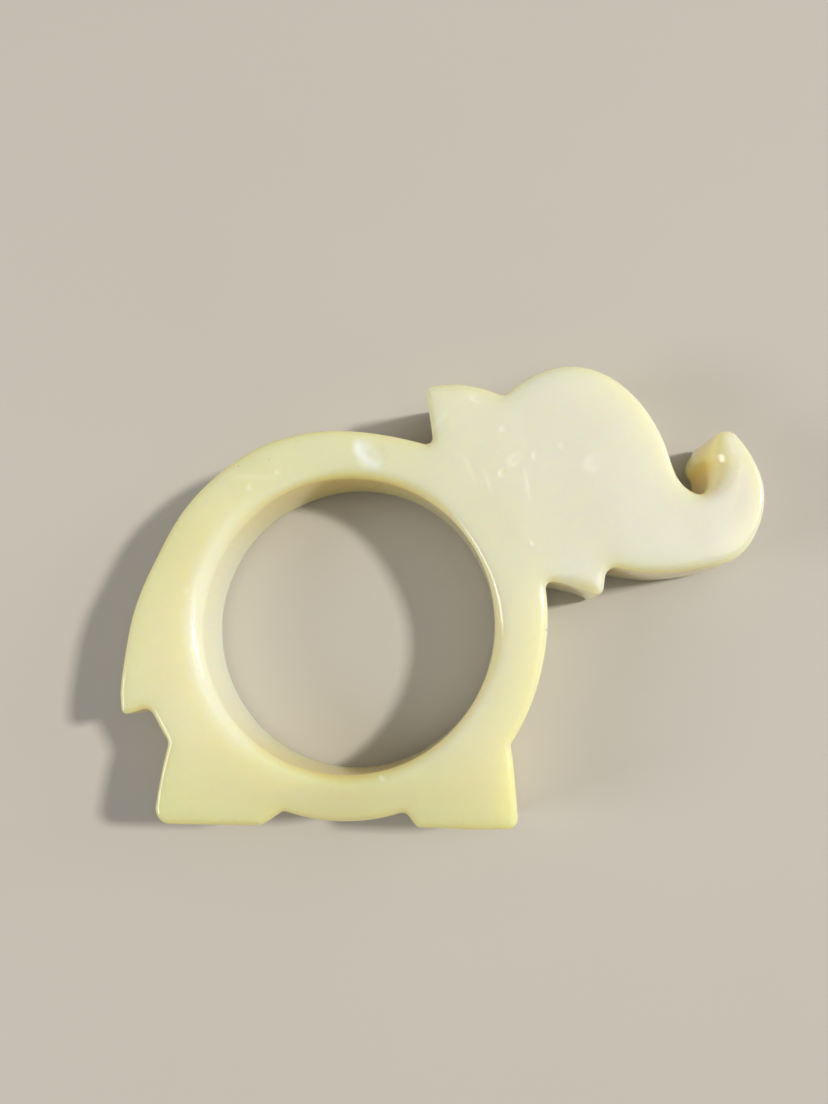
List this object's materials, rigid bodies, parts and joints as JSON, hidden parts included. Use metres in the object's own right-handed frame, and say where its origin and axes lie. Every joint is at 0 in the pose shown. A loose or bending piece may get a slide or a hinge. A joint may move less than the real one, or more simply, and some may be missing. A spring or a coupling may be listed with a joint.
{
  "type": "napkin ring",
  "caption": "Elephant-shaped napkin ring: a flat slab of cream-yellow cast resin with a large round bore through the body, raised curled trunk and a flat sole on each leg.",
  "frame": {"origin": "centre of the bore at half the slab's thickness", "axes": "+Z along the bore, out of the side that faces up when the ring lies flat; +X towards the trunk, parallel to the line of the two soles; +Y towards the top of the head"},
  "size_m": [0.0686, 0.0486, 0.0094],
  "materials": {
    "cast_phenolic": "gloss"
  },
  "bodies": {
    "root": {"elephant_ring": "cast_phenolic"}
  },
  "joints": []
}
